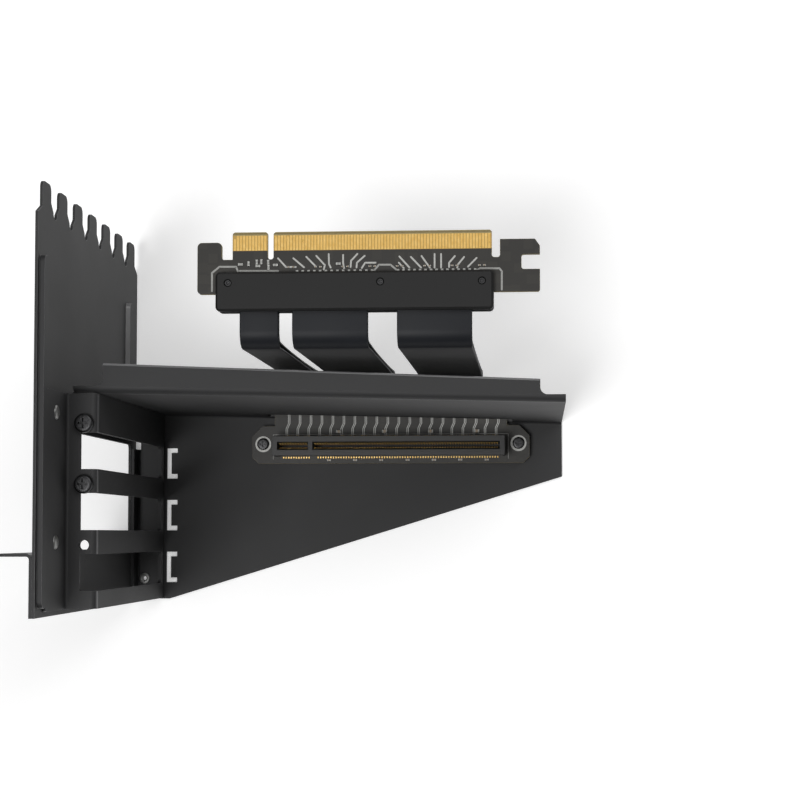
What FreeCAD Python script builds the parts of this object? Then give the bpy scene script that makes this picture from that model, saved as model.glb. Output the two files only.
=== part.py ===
"""Vertical mount that holds a graphics card parallel to the motherboard of a computer case.

A seven-slot rear plate takes the place of the case's slot covers. A folded tray with a high back
wall is welded to it, and a recessed bracket with three card openings is riveted in between them.
On the tray lies a small board with a sixteen-lane card socket. Three pairs of flat ribbons run from
it up behind the wall to an edge board, which plugs into the motherboard.

The frame: X points to the front of the case, Y to the motherboard, Z up. The origin is the centre
of the seven case screw holes, on the seat face of the case flange. All sizes are millimetres.
"""

import FreeCAD, Part
import math
import os
from FreeCAD import Vector

# The slot grid that every computer case and card shares
slot_pitch = 20.32
slot_count = 7
tab_width = 10.19
tab_tip_y = 120.0
screw_to_plate = 6.35

# Rear plate and the case flange welded behind it
plate_thickness = 1.0
plate_low_y = -20.5
plate_shoulder_y = 109.0
tab_root_y = 109.4
tab_root_radius = 2.2
tab_tip_radius = 2.4
tab_taper = 2.6
flange_length = 10.5
flange_bend = 1.5
flange_corner = 2.0
case_hole_radius = 2.2
window_low_y = 0.8
window_high_y = 41.0
window_low_z = -62.0
window_high_z = 35.0
window_radius = 2.0
rib_height = 1.8
rib_width = 5.0
rib_wall = 0.8
rib_high_y = 95.4
near_rib_z = 66.9
near_rib_low_y = -17.5
far_rib_z = -53.6
far_rib_low_y = 58.0

# Folded tray
trim = 20.0
tray_thickness = 1.2
tray_bend = 1.8
tray_length = 167.7
ledge_height = 110.0
wall_root_y = 53.6
wall_toe_in = 4.3
lip_start = 13.3
lip_end_gap = 8.4
lip_root_width = 10.0
lip_tip_width = 7.6
lip_radius = 2.4
shelf_front_y = -19.0
shelf_taper_start = 14.0
shelf_tip_y = 28.3
joint_flange = 8.6
joint_run = 0.8
joint_front_gap = 3.0
joint_window_gap = 1.5
side_joint_low = 14.0
side_joint_top = 9.0

# Recessed bracket for the card's own bracket
recess_depth = 11.7
opening_width = 12.3
opening_low_z = -64.1
opening_reach = 5.7
first_screw_y = 43.1
screw_to_opening = 9.1
screw_to_wall = 4.4
tapped_radius = 1.75
tapped_rim = 1.5
rim_wall = 0.85
card_slots = 3
bracket_low_y = -18.7
bracket_bend = 1.6
riser_flange = 24.4
riser_corner = 2.0
bracket_foot_gap = 1.25
bracket_wall_gap = 0.2
opening_corner = 1.5
opening_top_gap = 3.0
opening_fold_reach = 5.5
tab_slot_gap = 1.8
tab_slot_width = 11.9
tab_slot_reach = 4.2
tab_slot_start = 0.9
foot_hole_x = 4.25
foot_hole_y = -11.0
foot_hole_radius = 1.3

# Rivets and screws
rivet_radius = 1.5
rivet_head_radius = 2.4
rivet_head_height = 0.8
rivet_above_ledge = 12.9
rivet_ys = [45.9, 3.5]
screw_head_radius = 3.2
screw_head_height = 2.3
screw_length = 6.5
screw_thread_radius = 1.7
drive_width = 0.75
drive_reach = 1.75
drive_depth = 1.3

# Sixteen-lane card edge: the socket, the edge board and their contacts
edge_start = 64.85
short_tongue = 11.65
key_gap = 1.9
long_tongue = 71.65
contact_pitch = 1.0
contact_width = 0.7
contact_length = 4.9
contact_thickness = 0.08
short_contact_step = 1.1
contact_tip_gap = 0.05
board_thickness = 1.6

# Socket and its board on the tray
socket_y = 40.0
socket_width = 7.5
socket_height = 11.25
socket_end_wall = 2.1
card_gap = 1.9
card_gap_depth = 8.9
socket_foot = 0.5
foot_inset = 1.6
foot_length = 2.4
foot_width = 5.2
card_end_clearance = 0.15
card_key_clearance = 0.05
lead_in_width = 0.6
lead_in_depth = 0.9
step_end_gap = 1.4
step_width = 0.55
step_below_top = 3.4
spacer_height = 2.0
spacer_across = 5.0
ear_reach = 9.4
ear_front_cut = 2.5
ear_rear_cut = 4.0
neck_inset = 0.6
board_front_y = 33.6
ear_rear_y = 48.2
board_rear_y = 61.5
ear_hole_radius = 1.4
board_screw_x = 5.1
board_screw_y = 41.2
board_screw_head = 2.3
board_screw_height = 1.4
thread_clearance = 0.05
neck_clearance = 2.0
wall_window_low = 1.1
wall_window_top = 14.0
wall_window_corner = 1.0

# Ribbons: the gap before each and its width
ribbon_start = 67.35
ribbon_gaps = {"narrow": 0.0, "middle": 4.5, "wide": 9.6}
ribbon_widths = {"narrow": 12.8, "middle": 24.8, "wide": 24.5}
ribbon_thickness = 0.8
ribbon_front_y = 67.2
ribbon_bend = 3.0
ribbon_grip = 4.6

# Edge board and its moulded covers
edge_board_top = 48.4
tongue_tip_y = 105.2
neck_y = 96.1
tongue_bevel = 0.45
tongue_bevel_length = 1.2
tongue_nick = 0.6
edge_board_low_y = 84.7
left_ear_start = 53.2
left_ear_end = 61.3
left_ear_top_y = 101.8
hook_gap = 2.65
hook_reach = 13.0
hook_top_y = 102.0
hook_slant = 2.3
hook_slant_width = 1.6
ear_corner = 1.5
notch_corner = 0.8
root_corner = 0.85
hook_notch_low_y = 92.1
hook_notch_width = 4.8
hook_notch_depth = 6.0
cover_start = 59.7
cover_end = 150.6
cover_low_y = 78.8
cover_high_y = 91.6
cover_height = 3.2
cover_corner = 1.4
cover_chamfer = 0.7
cover_screw_y = 88.0
cover_screw_xs = [63.8, 113.8, 146.9]
cover_recess_radius = 1.3
cover_recess_depth = 1.0
clamp_start = 61.6
clamp_end = 153.4
clamp_low_y = 55.6
clamp_clearance = 0.1
clamp_height = 2.9
clamp_chamfer = 0.5

# Capacitors on the two boards: length, width and height of each kind
front_chip = (1.6, 0.8, 0.8)
front_chips = 7
front_chip_inset = 1.3
rear_chip = (2.0, 1.25, 1.2)
rear_chips = 4
rear_chip_gap = 2.2
small_chip = (0.9, 0.5, 0.45)
chip_pairs = 8
chip_pair_step = 1.6
chip_row_y = 93.2

# Places that follow from the sizes above
half_height = slot_pitch * slot_count / 2
lip_end = tray_length - lip_end_gap
base_z = -half_height
plate_inner_x = screw_to_plate
plate_outer_x = plate_inner_x - plate_thickness
ledge_z = base_z + ledge_height
shelf_top_z = base_z + tray_thickness
tray_end_x = plate_inner_x + tray_length
io_face_x = plate_inner_x + recess_depth
ledge_screw_x = io_face_x - screw_to_wall
screw_ys = [first_screw_y - slot_pitch * i for i in range(card_slots)]
opening_ys = [y - screw_to_opening for y in screw_ys]
board_low_z = shelf_top_z + spacer_height
board_top_z = board_low_z + board_thickness
clamp_high_y = ribbon_front_y - ribbon_bend - clamp_clearance
socket_start = edge_start - socket_end_wall
key_x = edge_start + short_tongue
long_start = key_x + key_gap
edge_end = long_start + long_tongue
socket_end = edge_end + socket_end_wall
edge_board_low = edge_board_top - board_thickness
slot_zs = [slot_pitch * (i - (slot_count - 1) / 2) for i in range(slot_count)]


def box(x, y, z):
    """A block between the two ends given on each axis."""
    low = Vector(min(x), min(y), min(z))
    return Part.makeBox(abs(x[1] - x[0]), abs(y[1] - y[0]), abs(z[1] - z[0]), low)


def rod(radius, start, direction, length):
    return Part.makeCylinder(radius, length, start, direction)


def xy(u, v, w):
    return Vector(u, v, w)


def xz(u, v, w):
    return Vector(u, w, v)


def yz(u, v, w):
    return Vector(w, u, v)


def prism(points, plane, low, high):
    """A straight-sided solid on an outline drawn in one of the three planes."""
    corners = [plane(u, v, low) for u, v in points]
    face = Part.Face(Part.makePolygon(corners + corners[:1]))
    return face.extrude(plane(0, 0, high) - plane(0, 0, low))


def rounded_rect(u, v, radius, plane, at):
    """The wire of a rectangle with round corners."""
    u0, u1 = u
    v0, v1 = v
    centres = [(u1 - radius, v1 - radius), (u0 + radius, v1 - radius)]
    centres += [(u0 + radius, v0 + radius), (u1 - radius, v0 + radius)]
    arcs = []
    for i, (cu, cv) in enumerate(centres):
        turn = [math.pi / 2 * i + math.pi / 4 * k for k in range(3)]
        spots = [plane(cu + radius * math.cos(a), cv + radius * math.sin(a), at) for a in turn]
        arcs.append(spots)
    edges = []
    for i, spots in enumerate(arcs):
        edges.append(Part.Arc(*spots).toShape())
        edges.append(Part.makeLine(spots[2], arcs[(i + 1) % 4][0]))
    return Part.Wire(edges)


def rounded_block(u, v, radius, plane, low, high):
    face = Part.Face(rounded_rect(u, v, radius, plane, low))
    return face.extrude(plane(0, 0, high) - plane(0, 0, low))


def bent_strip(path, bends, thickness, plane, low, high):
    """Sheet or ribbon of one thickness that follows a path of straight runs and round bends."""
    runs = []
    for (u0, v0), (u1, v1) in zip(path, path[1:]):
        length = math.hypot(u1 - u0, v1 - v0)
        runs.append(((u1 - u0) / length, (v1 - v0) / length))
    sides = {}
    for side in (1, -1):
        shift = side * thickness / 2
        at = (path[0][0] - runs[0][1] * shift, path[0][1] + runs[0][0] * shift)
        edges = []
        for i, bend in enumerate(bends):
            before, after = runs[i], runs[i + 1]
            turn = before[0] * after[1] - before[1] * after[0]
            hand = 1 if turn > 0 else -1
            angle = math.atan2(abs(turn), before[0] * after[0] + before[1] * after[1])
            back = bend * math.tan(angle / 2)
            corner = path[i + 1]
            centre = (
                corner[0] - before[0] * back - before[1] * hand * bend,
                corner[1] - before[1] * back + before[0] * hand * bend,
            )
            radius = bend - hand * shift
            first = (before[1] * hand, -before[0] * hand)
            last = (after[1] * hand, -after[0] * hand)
            reach = math.hypot(first[0] + last[0], first[1] + last[1])
            middle = ((first[0] + last[0]) / reach, (first[1] + last[1]) / reach)
            spots = [(centre[0] + d[0] * radius, centre[1] + d[1] * radius) for d in (first, middle, last)]
            edges.append((at, spots[0]))
            edges.append(tuple(spots))
            at = spots[2]
        end = (path[-1][0] - runs[-1][1] * shift, path[-1][1] + runs[-1][0] * shift)
        edges.append((at, end))
        sides[side] = edges
    outline = []
    for edge in sides[1] + sides[-1]:
        spots = [plane(u, v, low) for u, v in edge]
        outline.append(Part.makeLine(*spots) if len(spots) == 2 else Part.Arc(*spots).toShape())
    for left, right in ((sides[1][0][0], sides[-1][0][0]), (sides[1][-1][-1], sides[-1][-1][-1])):
        outline.append(Part.makeLine(plane(*left, low), plane(*right, low)))
    wire = Part.Wire(Part.__sortEdges__(outline))
    return Part.Face(wire).extrude(plane(0, 0, high) - plane(0, 0, low))


def fillet_where(shape, radius, chosen):
    """Rounds the straight edges that the rule picks by their ends."""
    edges = [e for e in shape.Edges if len(e.Vertexes) == 2 and chosen(e)]
    return shape.makeFillet(radius, edges) if edges else shape


def runs_along(edge, axis):
    start, end = [v.Point for v in edge.Vertexes]
    others = [a for a in "xyz" if a != axis]
    return all(abs(getattr(start, a) - getattr(end, a)) < 1e-6 for a in others)


def one(shape):
    """The single solid of a finished piece."""
    shape = shape.removeSplitter()
    assert len(shape.Solids) == 1, len(shape.Solids)
    return shape.Solids[0]


def pan_screw(place, up, length, thread, head, height):
    """Screw whose head stands on place, its thread running the other way, with a cross recess."""
    axis = Vector(*up)
    screw = rod(head, place, axis, height)
    screw = screw.fuse(rod(thread, place - axis * length, axis, length))
    side = Vector(1, 0, 0) if abs(axis.x) < 0.5 else Vector(0, 1, 0)
    scale = head / screw_head_radius
    reach, width = drive_reach * scale, drive_width * scale
    for along in (side, axis.cross(side)):
        across = axis.cross(along) * (width / 2)
        floor = place + axis * (height - drive_depth * scale)
        ends = [floor - along * reach, floor + along * reach]
        corners = [ends[0] - across, ends[1] - across, ends[1] + across, ends[0] + across]
        slot = Part.Face(Part.makePolygon(corners + corners[:1])).extrude(axis * height * 2)
        screw = screw.cut(slot)
    return one(screw)


def rivet(place, outward, grip):
    """Rivet through a stack of sheets: a flat head on the side it was set from, dressed flush behind."""
    axis = Vector(*outward)
    head = rod(rivet_head_radius, place, axis, rivet_head_height)
    return one(head.fuse(rod(rivet_radius, place - axis * grip, axis, grip)))


def wall_inner_y(x):
    """Inner face of the tray's back wall, which leans in towards its free end."""
    return wall_root_y - wall_toe_in * (x - plate_inner_x) / tray_length


def foot_hole():
    """What is drilled out of the bracket's foot and the shelf under it, for a tubular rivet."""
    place = Vector(plate_inner_x + foot_hole_x, foot_hole_y, base_z - 1)
    return rod(foot_hole_radius, place, Vector(0, 0, 1), 4)


# Where the bracket's riser is riveted to the plate
rivet_places = [(y, ledge_z + rivet_above_ledge) for y in rivet_ys]


def rear_plate():
    """Steel sheet with seven slot tabs, a window for the card's sockets and two pressed ribs."""
    plate = box((plate_outer_x, plate_inner_x), (plate_low_y, tab_tip_y), (-half_height, half_height))
    half_gap = (slot_pitch - tab_width) / 2
    above = tab_tip_y + 5
    centre_y = tab_root_y + tab_root_radius
    for low, high in zip(slot_zs, slot_zs[1:]):
        z = (low + high) / 2
        gap = [
            (above, z - half_gap),
            (centre_y + tab_taper, z - half_gap),
            (centre_y, z - tab_root_radius),
            (centre_y, z + tab_root_radius),
            (centre_y + tab_taper, z + half_gap),
            (above, z + half_gap),
        ]
        plate = plate.cut(prism(gap, yz, plate_outer_x - 1, plate_inner_x + 1))
        root = rod(tab_root_radius, Vector(plate_outer_x - 1, centre_y, z), Vector(1, 0, 0), 4)
        plate = plate.cut(root)
    for end in (-1, 1):
        corner = [
            (above, end * (slot_zs[-1] + tab_width / 2)),
            (plate_shoulder_y + tab_taper, end * (slot_zs[-1] + tab_width / 2)),
            (plate_shoulder_y, end * half_height),
            (plate_shoulder_y, end * (half_height + 5)),
            (above, end * (half_height + 5)),
        ]
        plate = plate.cut(prism(corner, yz, plate_outer_x - 1, plate_inner_x + 1))
    plate = fillet_where(
        plate, tab_tip_radius, lambda e: runs_along(e, "x") and e.Vertexes[0].Y > tab_tip_y - 0.01
    )
    end = rib_width / 2 - 0.1
    for z, low_y in ((near_rib_z, near_rib_low_y), (far_rib_z, far_rib_low_y)):
        outer_z = (z - rib_width / 2, z + rib_width / 2)
        inner_z = (outer_z[0] + rib_wall, outer_z[1] - rib_wall)
        inner_y = (low_y + rib_wall, rib_high_y - rib_wall)
        outer_y = (low_y, rib_high_y)
        swell = rounded_block(outer_y, outer_z, end, yz, plate_inner_x, plate_inner_x + rib_height)
        inner_end = end - rib_wall
        hollow = rounded_block(inner_y, inner_z, inner_end, yz, plate_outer_x, plate_outer_x + rib_height)
        plate = plate.fuse(swell).cut(hollow)
    window_y = (window_low_y, window_high_y)
    window_z = (window_low_z, window_high_z)
    window = rounded_block(window_y, window_z, window_radius, yz, plate_outer_x - 1, plate_inner_x + 1)
    plate = plate.cut(window)
    for y, z in rivet_places:
        plate = plate.cut(rod(rivet_radius, Vector(plate_outer_x - 1, y, z), Vector(1, 0, 0), 4))
    return one(plate)


def case_flange():
    """Angle welded to the back of the plate by its leg. Its flange takes the case screws."""
    middle = plate_outer_x - plate_thickness / 2
    path = [
        (plate_outer_x - plate_thickness - flange_length, -plate_thickness / 2),
        (middle, -plate_thickness / 2),
        (middle, plate_low_y),
    ]
    angle = bent_strip(path, [flange_bend], plate_thickness, xy, -half_height, half_height)
    for z in slot_zs:
        angle = angle.cut(rod(case_hole_radius, Vector(0, -plate_thickness - 1, z), Vector(0, 1, 0), 4))
    angle = fillet_where(
        angle, flange_corner, lambda e: runs_along(e, "y") and e.Vertexes[0].X < path[0][0] + 0.01
    )
    return one(angle)


def io_bracket():
    """Bracket that steps in from the plate: riser, ledge with tapped holes, wall with openings, foot."""
    half = tray_thickness / 2
    path = [
        (plate_inner_x + half, ledge_z + riser_flange),
        (plate_inner_x + half, ledge_z - half),
        (io_face_x - half, ledge_z - half),
        (io_face_x - half, shelf_top_z + half),
        (plate_inner_x + tray_thickness + bracket_foot_gap, shelf_top_z + half),
    ]
    high_y = wall_inner_y(io_face_x) - bracket_wall_gap
    bracket = bent_strip(path, [bracket_bend] * 3, tray_thickness, xz, bracket_low_y, high_y)
    riser_top = ledge_z + riser_flange
    bracket = fillet_where(
        bracket, riser_corner, lambda e: runs_along(e, "x") and e.Vertexes[0].Z > riser_top - 0.01
    )
    # The foot is relieved where the tray's fold curves up
    relief_y = (high_y - tray_bend, high_y + 1)
    bracket = bracket.cut(box((plate_inner_x, io_face_x + 1), relief_y, (base_z, shelf_top_z + tray_bend)))
    for y in opening_ys:
        span_y = (y - opening_width / 2, y + opening_width / 2)
        span_z = (opening_low_z, ledge_z - opening_top_gap)
        deep = rounded_block(span_y, span_z, opening_corner, yz, io_face_x - 3, io_face_x + 1)
        span_x = (io_face_x - opening_reach, io_face_x + 2)
        top = box(span_x, span_y, (ledge_z - opening_fold_reach, ledge_z + 1))
        bracket = bracket.cut(deep).cut(top)
    rim_z = ledge_z - tray_thickness - tapped_rim
    for y in screw_ys:
        start = Vector(ledge_screw_x, y, rim_z)
        bracket = bracket.fuse(rod(tapped_radius + rim_wall, start, Vector(0, 0, 1), tapped_rim + half))
    for y in screw_ys:
        bore = rod(tapped_radius, Vector(ledge_screw_x, y, rim_z - 1), Vector(0, 0, 1), ledge_z - rim_z + 2)
        bracket = bracket.cut(bore)
    for y, z in rivet_places:
        bracket = bracket.cut(rod(rivet_radius, Vector(plate_inner_x - 1, y, z), Vector(1, 0, 0), 4))
    bracket = bracket.cut(foot_hole())
    return one(bracket)


def shelf_front():
    """Plan of what is cut away in front of the shelf: it is deep at the plate and tapers to its free end."""
    near_x, far_x = plate_inner_x - 1, tray_end_x + 10
    return [
        (near_x, shelf_front_y - trim),
        (near_x, shelf_front_y),
        (plate_inner_x + shelf_taper_start, shelf_front_y),
        (tray_end_x, shelf_tip_y),
        (far_x, shelf_tip_y),
        (far_x, shelf_front_y - trim),
    ]


def tray():
    """One folded sheet: tapered shelf, high back wall that leans in, and a top lip."""
    half = tray_thickness / 2
    start_x = plate_inner_x + half + tray_bend + joint_run
    slope = wall_toe_in / tray_length
    wall_y = wall_inner_y(start_x) + half
    lip_y = wall_inner_y(plate_inner_x + lip_start) + lip_root_width
    path = [
        (shelf_front_y - 4, base_z + half),
        (wall_y, base_z + half),
        (wall_y, ledge_z - half),
        (lip_y + 2, ledge_z - half),
    ]
    sheet = bent_strip(path, [tray_bend] * 2, tray_thickness, yz, start_x - 5, tray_end_x + 5)
    sheet.rotate(Vector(start_x, wall_y, 0), Vector(0, 0, 1), -math.degrees(math.atan(slope)))
    sheet = sheet.common(box((start_x, tray_end_x), (shelf_front_y - trim, lip_y + trim), (base_z, ledge_z)))
    sheet = sheet.cut(prism(shelf_front(), xy, base_z - 1, base_z + trim))

    # The lip tapers, and ends short of the wall at both ends with a round into it
    root_x = plate_inner_x + lip_start
    tip_x = plate_inner_x + lip_end
    root_y = wall_inner_y(root_x) + lip_root_width
    tip_y = wall_inner_y(tip_x) + lip_tip_width
    taper = (tip_y - root_y) / (tip_x - root_x)
    near_x, far_x = start_x - 5, tray_end_x + 5
    rear_y = root_y + trim
    behind = [
        (near_x, root_y + taper * (near_x - root_x)),
        (far_x, root_y + taper * (far_x - root_x)),
        (far_x, rear_y),
        (near_x, rear_y),
    ]
    band = (ledge_z - 3, ledge_z + 1)
    sheet = sheet.cut(prism(behind, xy, *band))
    for edge_x, outer_x, hand in ((root_x, near_x, -1), (tip_x, far_x, 1)):
        span_x = tuple(sorted((edge_x, outer_x + hand * lip_radius)))
        line_y = wall_inner_y(edge_x) + tray_bend + half
        sheet = sheet.cut(rounded_block(span_x, (line_y, rear_y), lip_radius, xy, *band))

    # Flanges that are welded to the plate, one folded from the shelf and one from the wall
    joint_x = plate_inner_x + half
    path = [(joint_x, base_z + joint_flange), (joint_x, base_z + half), (start_x, base_z + half)]
    span_y = (shelf_front_y + joint_front_gap, window_high_y - joint_window_gap)
    sheet = sheet.fuse(bent_strip(path, [tray_bend], tray_thickness, xz, *span_y))
    path = [(joint_x, window_high_y + joint_window_gap)]
    path += [(x, wall_y - slope * (x - start_x)) for x in (joint_x, start_x + 3)]
    span_z = (base_z + side_joint_low, ledge_z - side_joint_top)
    sheet = sheet.fuse(bent_strip(path, [tray_bend], tray_thickness, xy, *span_z))

    # Slots that take the ends of the card's brackets, each cut round three sides of a tongue
    near_x = io_face_x + tab_slot_start
    far_x = near_x + tab_slot_reach
    for y in opening_ys:
        outer = (y - tab_slot_width / 2, y + tab_slot_width / 2)
        inner = (outer[0] + tab_slot_gap, outer[1] - tab_slot_gap)
        slot = box((near_x, far_x), outer, (base_z - 1, shelf_top_z + 1))
        tongue = box((near_x + tab_slot_gap, far_x + 1), inner, (base_z - 2, shelf_top_z + 2))
        sheet = sheet.cut(slot.cut(tongue))

    # Window at the foot of the wall for the socket board's neck
    neck = (clamp_start - neck_clearance, clamp_end + neck_clearance)
    window_z = (shelf_top_z + wall_window_low, shelf_top_z + wall_window_top)
    window = rounded_block(neck, window_z, wall_window_corner, xz, wall_inner_y(neck[1]) - 3, wall_root_y + 3)
    sheet = sheet.cut(window)
    sheet = sheet.cut(foot_hole())
    return one(sheet)


def frame_rivets():
    """Rivets through the plate and the bracket's riser."""
    grip = plate_thickness + tray_thickness
    places = [Vector(plate_inner_x + tray_thickness, y, z) for y, z in rivet_places]
    return Part.makeCompound([rivet(place, (1, 0, 0), grip) for place in places])


def gpu_screws():
    """The two screws that clamp a card's bracket, set in the first two tapped holes."""
    size = (screw_length, screw_thread_radius, screw_head_radius, screw_head_height)
    places = [Vector(ledge_screw_x, y, ledge_z) for y in screw_ys[:2]]
    return Part.makeCompound([pan_screw(place, (0, 0, 1), *size) for place in places])


def contact_xs():
    """Centres of the contacts along the card edge, as many on each tongue as its length takes."""
    centres = []
    for start, length in ((edge_start, short_tongue), (long_start, long_tongue)):
        count = int(length / contact_pitch)
        margin = (length - contact_pitch * (count - 1)) / 2
        centres += [start + margin + contact_pitch * i for i in range(count)]
    return centres


def socket_housing():
    """Moulded socket body: two card gaps with the key between them, lead-in ramps, side steps and feet."""
    top_z = board_top_z + socket_height
    low_z = board_top_z + socket_foot
    flanks = (socket_y - socket_width / 2, socket_y + socket_width / 2)
    body = box((socket_start, socket_end), flanks, (low_z, top_z))
    gap_y = (socket_y - card_gap / 2, socket_y + card_gap / 2)
    gaps = (
        (edge_start - card_end_clearance, key_x + card_key_clearance),
        (long_start - card_key_clearance, edge_end + card_end_clearance),
    )
    for span in gaps:
        body = body.cut(box(span, gap_y, (top_z - card_gap_depth, top_z + 1)))
        mouth = [
            (gap_y[0] - lead_in_width, top_z + 0.01),
            (gap_y[0], top_z - lead_in_depth),
            (gap_y[1], top_z - lead_in_depth),
            (gap_y[1] + lead_in_width, top_z + 0.01),
        ]
        body = body.cut(prism(mouth, yz, *span))
    step_x = (socket_start + step_end_gap, socket_end - step_end_gap)
    for side, flank in zip((-1, 1), flanks):
        step_y = (flank - side * step_width, flank + side)
        body = body.cut(box(step_x, step_y, (top_z - step_below_top, low_z - 1)))
    foot_y = (socket_y - foot_width / 2, socket_y + foot_width / 2)
    middle_x = (long_start + edge_end) / 2
    for x in (socket_start + foot_inset, key_x + key_gap / 2, middle_x, socket_end - foot_inset):
        body = body.fuse(box((x - foot_length / 2, x + foot_length / 2), foot_y, (board_top_z, low_z)))
    return one(body)


def board_screw_places():
    """Where the socket board is screwed down: one place on each ear."""
    return [(socket_start - board_screw_x, board_screw_y), (socket_end + board_screw_x, board_screw_y)]


def socket_board():
    """Circuit board of the socket: an ear past each end and a narrower neck that passes through the wall."""
    left, right = socket_start - ear_reach, socket_end + ear_reach
    neck_left, neck_right = clamp_start + neck_inset, clamp_end - neck_inset
    outline = [
        (left, board_front_y + ear_front_cut),
        (left + ear_front_cut, board_front_y),
        (right - ear_front_cut, board_front_y),
        (right, board_front_y + ear_front_cut),
        (right, ear_rear_y - ear_rear_cut),
        (right - ear_rear_cut, ear_rear_y),
        (neck_right, ear_rear_y),
        (neck_right, board_rear_y),
        (neck_left, board_rear_y),
        (neck_left, ear_rear_y),
        (left + ear_rear_cut, ear_rear_y),
        (left, ear_rear_y - ear_rear_cut),
    ]
    board = prism(outline, xy, board_low_z, board_top_z)
    for x, y in board_screw_places():
        board = board.cut(rod(ear_hole_radius, Vector(x, y, board_low_z - 1), Vector(0, 0, 1), 4))
    return one(board)


def board_spacers():
    """Hexagonal brass standoffs on the shelf that carry the board's ears."""
    corner = spacer_across / math.sqrt(3)
    turns = [math.pi / 3 * i for i in range(6)]
    pieces = []
    for x, y in board_screw_places():
        hexagon = [(x + corner * math.cos(a), y + corner * math.sin(a)) for a in turns]
        body = prism(hexagon, xy, shelf_top_z, board_low_z)
        bore = rod(ear_hole_radius, Vector(x, y, shelf_top_z - 1), Vector(0, 0, 1), spacer_height + 2)
        pieces.append(body.cut(bore))
    return Part.makeCompound(pieces)


def board_screws():
    """Screws through the board's ears into the standoffs."""
    reach = board_thickness + spacer_height - thread_clearance
    size = (reach, ear_hole_radius - thread_clearance, board_screw_head, board_screw_height)
    places = [Vector(x, y, board_top_z) for x, y in board_screw_places()]
    return Part.makeCompound([pan_screw(place, (0, 0, 1), *size) for place in places])


def board_capacitors():
    """Small ceramic capacitors beside the socket, a front row and a rear row."""
    rows = (
        (front_chip, front_chips, board_front_y + front_chip_inset),
        (rear_chip, rear_chips, socket_y + socket_width / 2 + rear_chip_gap),
    )
    pieces = []
    for (length, width, height), count, y in rows:
        pitch = long_tongue / count
        for i in range(count):
            x = long_start + pitch * (i + 0.5)
            pieces.append(
                box(
                    (x - length / 2, x + length / 2),
                    (y - width / 2, y + width / 2),
                    (board_top_z, board_top_z + height),
                )
            )
    return Part.makeCompound(pieces)


def ribbon_span(name):
    """Where a ribbon starts and ends along the card edge."""
    low = ribbon_start
    for each, width in ribbon_widths.items():
        low += ribbon_gaps[each]
        if each == name:
            return (low, low + width)
        low += width


def ribbon_path(back):
    """Centre line of a ribbon in the YZ plane, the front layer or the one behind it."""
    gap = board_thickness + ribbon_thickness if back else 0
    upper_z = edge_board_top + ribbon_thickness / 2 - gap
    lower_z = board_top_z + ribbon_thickness / 2 - gap
    y = ribbon_front_y + gap
    path = [
        (edge_board_low_y + ribbon_grip, upper_z),
        (y, upper_z),
        (y, lower_z),
        (board_rear_y - ribbon_grip, lower_z),
    ]
    wide = ribbon_bend + board_thickness + ribbon_thickness
    bends = [ribbon_bend, wide] if back else [wide, ribbon_bend]
    return path, bends


def ribbon(name, back):
    """Flat ribbon from the socket board, up behind the wall, and over to the edge board."""
    path, bends = ribbon_path(back)
    return one(bent_strip(path, bends, ribbon_thickness, yz, *ribbon_span(name)))


def half_shell(body, face, outer, chamfer, pocket_y):
    """Moulded half of a cover: its outer rim is chamfered and the ribbon ends lie in pockets in its face."""
    if chamfer:
        rim = [e for e in body.Edges if all(abs(v.Z - outer) < 1e-6 for v in e.Vertexes)]
        body = body.makeChamfer(chamfer, rim)
    depth = ribbon_thickness if outer > face else -ribbon_thickness
    for name in ribbon_widths:
        body = body.cut(box(ribbon_span(name), pocket_y, (face, face + depth)))
    return body


def connector_cover(top):
    """Half of the cover on the edge board. The upper one has three screw recesses and closes the edge."""
    face = edge_board_top if top else edge_board_low
    outer = face + cover_height if top else face - cover_height
    low, high = min(face, outer), max(face, outer)
    body = rounded_block(
        (cover_start, cover_end), (cover_low_y, cover_high_y), cover_corner, xy, low, high
    )
    chamfer = cover_chamfer if top else 0
    body = half_shell(body, face, outer, chamfer, (cover_low_y - 1, edge_board_low_y + ribbon_grip))
    if top:
        span = (cover_start + cover_corner, cover_end - cover_corner)
        edge = (cover_low_y, edge_board_low_y)
        body = body.fuse(box(span, edge, (edge_board_low, edge_board_top)))
        for x in cover_screw_xs:
            start = Vector(x, cover_screw_y, outer - cover_recess_depth)
            body = body.cut(rod(cover_recess_radius, start, Vector(0, 0, 1), cover_recess_depth + 1))
    return one(body)


def ribbon_clamp(top):
    """Half of the clamp on the socket board's neck, bonded over the ribbon ends."""
    face = board_top_z if top else board_low_z
    outer = face + clamp_height if top else face - clamp_height
    body = box((clamp_start, clamp_end), (clamp_low_y, clamp_high_y), (face, outer))
    body = half_shell(body, face, outer, clamp_chamfer, (board_rear_y - ribbon_grip, clamp_high_y + 1))
    if top:
        edge = (board_rear_y, clamp_high_y)
        body = body.fuse(box((clamp_start, clamp_end), edge, (board_low_z, board_top_z)))
    return one(body)


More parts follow.
